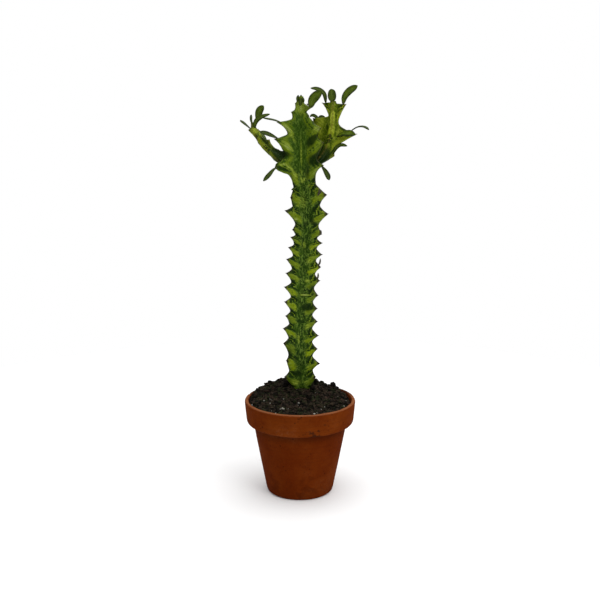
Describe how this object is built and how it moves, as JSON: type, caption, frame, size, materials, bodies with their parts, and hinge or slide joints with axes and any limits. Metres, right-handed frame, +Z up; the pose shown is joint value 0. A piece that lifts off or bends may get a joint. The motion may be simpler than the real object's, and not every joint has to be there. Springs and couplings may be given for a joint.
{
  "type": "potted variegated euphorbia lactea",
  "caption": "Ribbed, toothed succulent stem with a branching leafy crown, growing in soil in a round clay pot with a banded rim.",
  "frame": {"origin": "centre of the pot's foot, on the surface it stands on", "axes": "+Z up along the stem, +X to the right of the side that faces -Y, where one branch spreads to each side"},
  "size_m": [0.0932, 0.0848, 0.3047],
  "materials": {
    "clay": "matte",
    "soil": "matte",
    "stem_skin": "satin",
    "young_skin": "satin"
  },
  "bodies": {
    "root": {"pot": "clay", "soil": "soil", "main_stem": "stem_skin", "left_branch": "young_skin", "right_branch": "young_skin"}
  },
  "joints": []
}
